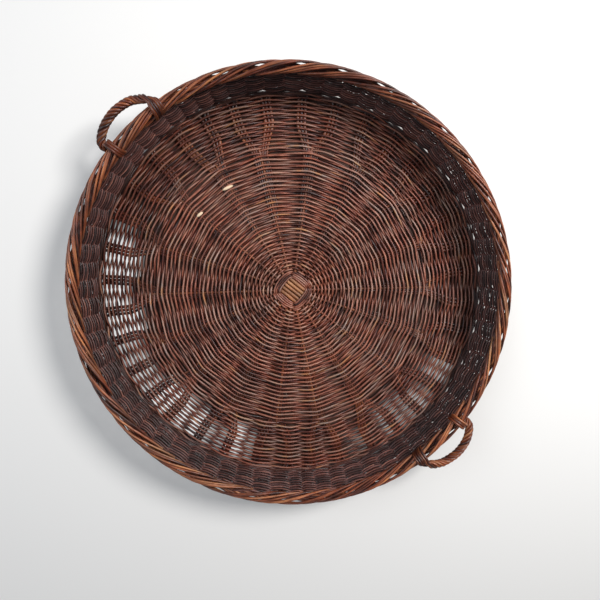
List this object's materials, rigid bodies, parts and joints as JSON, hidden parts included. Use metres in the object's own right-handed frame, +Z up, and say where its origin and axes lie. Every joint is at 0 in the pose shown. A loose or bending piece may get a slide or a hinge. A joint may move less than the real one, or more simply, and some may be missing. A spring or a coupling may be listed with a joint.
{
  "type": "winnowing basket",
  "caption": "Large round shallow woven willow winnowing basket with an upright side, a rolled rod border and two twisted rope handles on opposite sides.",
  "frame": {"origin": "centre of the underside of the base, on the surface the basket lies on", "axes": "+Z up out of the mouth; +X outwards through one handle, -X through the other; +Y across the basket"},
  "size_m": [0.9677, 0.8652, 0.1214],
  "materials": {
    "base_stick": "peeled-looking tan brown willow sticks, satin, worn",
    "stake": "orange-brown willow rods, semi-gloss with darker bark streaks",
    "base_weaver": "mixed red-brown, brown and grey-brown willow rods in bark, satin",
    "side_weaver": "dark purple-brown willow rods in bark, satin",
    "handle_rod": "twisted orange-brown willow rods, semi-gloss, rubbed on the outside"
  },
  "bodies": {
    "root": {"base_stick_01": "base_stick", "base_stick_02": "base_stick", "base_stick_03": "base_stick", "base_stick_04": "base_stick", "base_stick_05": "base_stick", "base_stick_06": "base_stick", "base_stick_07": "base_stick", "base_stick_08": "base_stick", "base_stick_09": "base_stick", "stake_01": "stake", "stake_02": "stake", "stake_03": "stake", "stake_04": "stake", "stake_05": "stake", "stake_06": "stake", "stake_07": "stake", "stake_08": "stake", "stake_09": "stake", "stake_10": "stake", "stake_11": "stake", "stake_12": "stake", "stake_13": "stake", "stake_14": "stake", "stake_15": "stake", "stake_16": "stake", "stake_17": "stake", "stake_18": "stake", "stake_19": "stake", "stake_20": "stake", "stake_21": "stake", "stake_22": "stake", "stake_23": "stake", "stake_24": "stake", "stake_25": "stake", "stake_26": "stake", "stake_27": "stake", "stake_28": "stake", "stake_29": "stake", "stake_30": "stake", "stake_31": "stake", "stake_32": "stake", "stake_33": "stake", "stake_34": "stake", "stake_35": "stake", "stake_36": "stake", "slath_tie": "base_weaver", "base_weave_inner": "base_weaver", "base_weave_outer": "base_weaver", "foot_wale": "base_weaver", "side_weave": "side_weaver", "top_wale": "side_weaver", "handle_right_core": "handle_rod", "handle_right_rope": "handle_rod", "handle_right_wrap_a": "handle_rod", "handle_right_wrap_b": "handle_rod", "handle_left_core": "handle_rod", "handle_left_rope": "handle_rod", "handle_left_wrap_a": "handle_rod", "handle_left_wrap_b": "handle_rod"}
  },
  "joints": []
}
